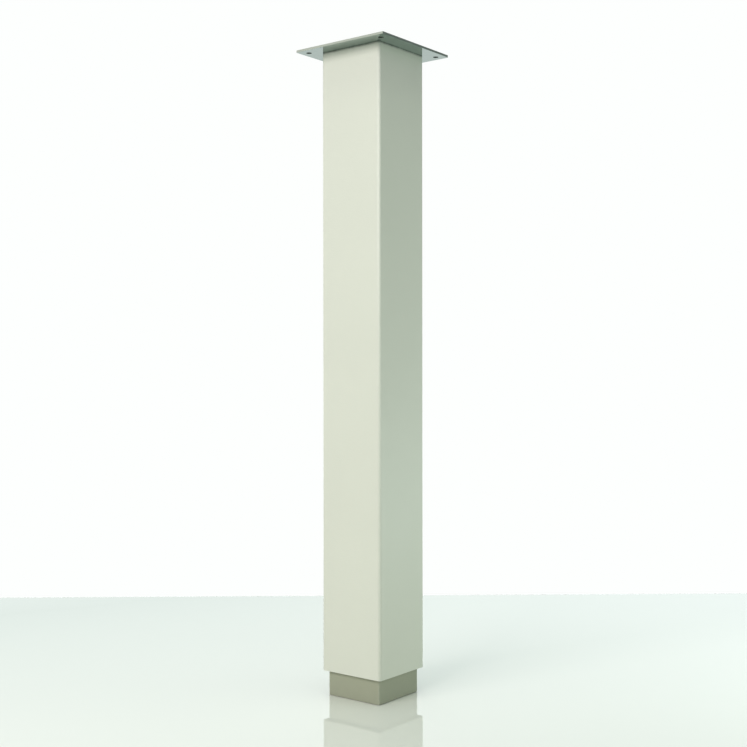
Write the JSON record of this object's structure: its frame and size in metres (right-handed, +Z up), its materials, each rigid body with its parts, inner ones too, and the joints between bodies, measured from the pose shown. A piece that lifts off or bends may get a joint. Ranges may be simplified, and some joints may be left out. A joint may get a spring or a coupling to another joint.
{
  "type": "furniture support leg",
  "caption": "Square coated steel furniture leg with a screw-on mounting plate on top and a screwed square levelling foot that raises the leg as it turns.",
  "frame": {"origin": "on the floor under the middle of the leg", "axes": "+Z up along the leg, +X and +Y square to the faces of the tube, -Y and +X the two faces that the picture shows"},
  "size_m": [0.12, 0.12, 0.71],
  "materials": {
    "column_coat": "satin powder coat, cream white",
    "bare_plate": "bright zinc plate",
    "zinc_steel": "bright zinc plate",
    "coated_inner_steel": "thin powder coat over welded steel",
    "foot_plastic": "satin moulded, warm grey",
    "glide_plastic": "smooth moulded"
  },
  "bodies": {
    "floor_glide": {"foot_glide": "glide_plastic"},
    "foot": {"foot_shell": "foot_plastic", "foot_stem": "zinc_steel"},
    "leg": {"leg_tube": "column_coat", "mounting_plate": "bare_plate", "plate_bolt": "zinc_steel", "head_plate": "coated_inner_steel", "head_nut": "coated_inner_steel", "base_plate": "coated_inner_steel", "base_nut": "coated_inner_steel"}
  },
  "joints": [
    {"name": "foot_turn", "type": "hinge", "parent": "floor_glide", "child": "foot", "pos_m": [0, 0, 0], "axis": [0, 0, -1], "range_deg": [0, 4680]},
    {"name": "leg_rise", "type": "slide", "parent": "floor_glide", "child": "leg", "axis": [0, 0, 1], "range_m": [0, 0.0195]}
  ],
  "couplings": [
    {"joint": "foot_turn", "follows": "leg_rise", "rad_per_m": 4188.7}
  ]
}
